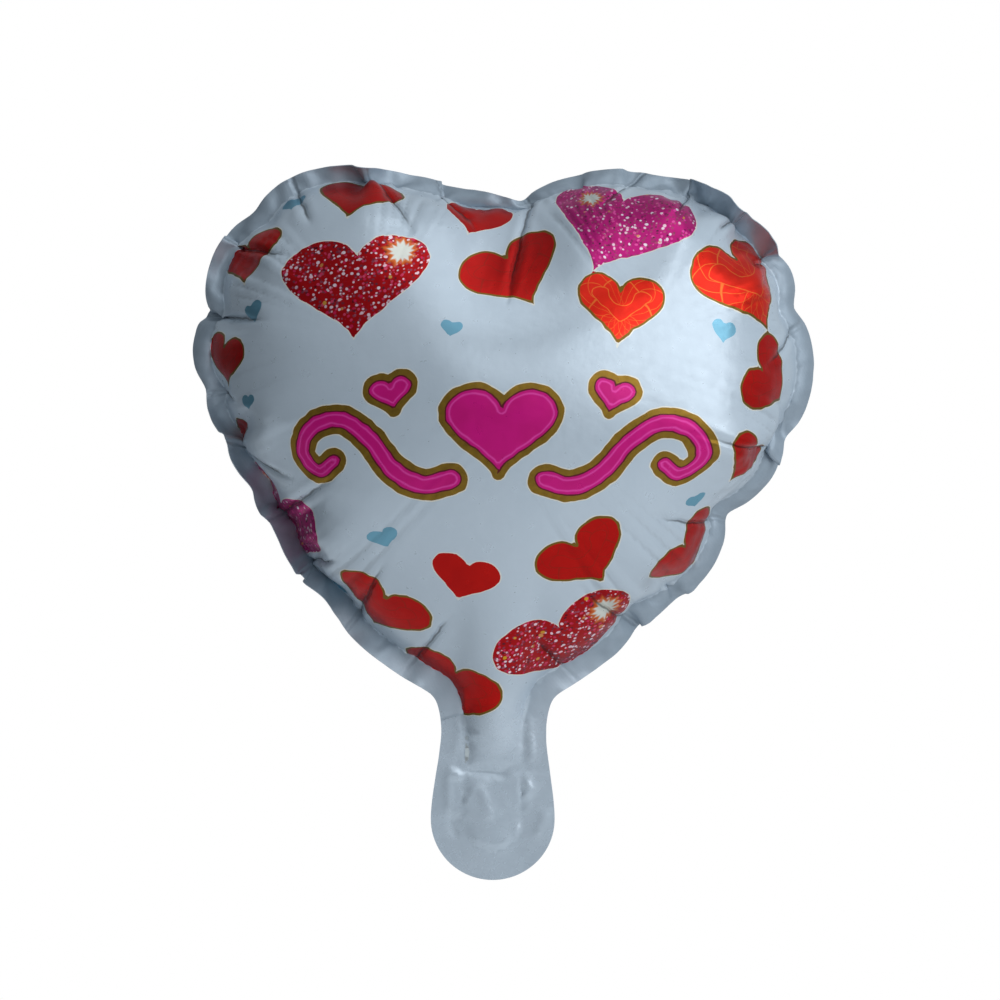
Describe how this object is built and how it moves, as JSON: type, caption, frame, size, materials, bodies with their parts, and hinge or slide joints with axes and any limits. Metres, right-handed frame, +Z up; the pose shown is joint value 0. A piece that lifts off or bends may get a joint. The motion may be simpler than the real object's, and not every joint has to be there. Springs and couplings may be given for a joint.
{
  "type": "foil balloon",
  "caption": "Inflated heart-shaped foil balloon: two printed film sheets with a welded rim, a flat film valve in the neck and a flat filling tail that folds.",
  "frame": {"origin": "middle of the neck's narrowest place, where a ribbon is tied, on the plane where the two film sheets meet", "axes": "+Z up from the tail to the heart's lobes, X across the heart, -Y out of the printed front"},
  "size_m": [0.213, 0.1074, 0.2436],
  "materials": {
    "front_film": "glossy printed metallised film",
    "back_film": "glossy silver metallised film",
    "weld": "fused sealing layer",
    "valve_film": "clear soft film",
    "release_ink": "matt heat-proof ink"
  },
  "bodies": {
    "balloon": {"front_film": "front_film", "back_film": "back_film", "perimeter_weld": "weld", "valve_front_ply": "valve_film", "valve_back_ply": "valve_film", "valve_side_seals": "valve_film", "valve_release_ink": "release_ink", "valve_tack_seals": "valve_film"},
    "tail_flap": {"tail_front_film": "front_film", "tail_back_film": "back_film", "tail_side_welds": "weld"}
  },
  "joints": [
    {"name": "tail_fold", "type": "hinge", "parent": "balloon", "child": "tail_flap", "pos_m": [0, 0, -0.009], "axis": [1, 0, 0], "range_deg": [-130, 130]}
  ]
}
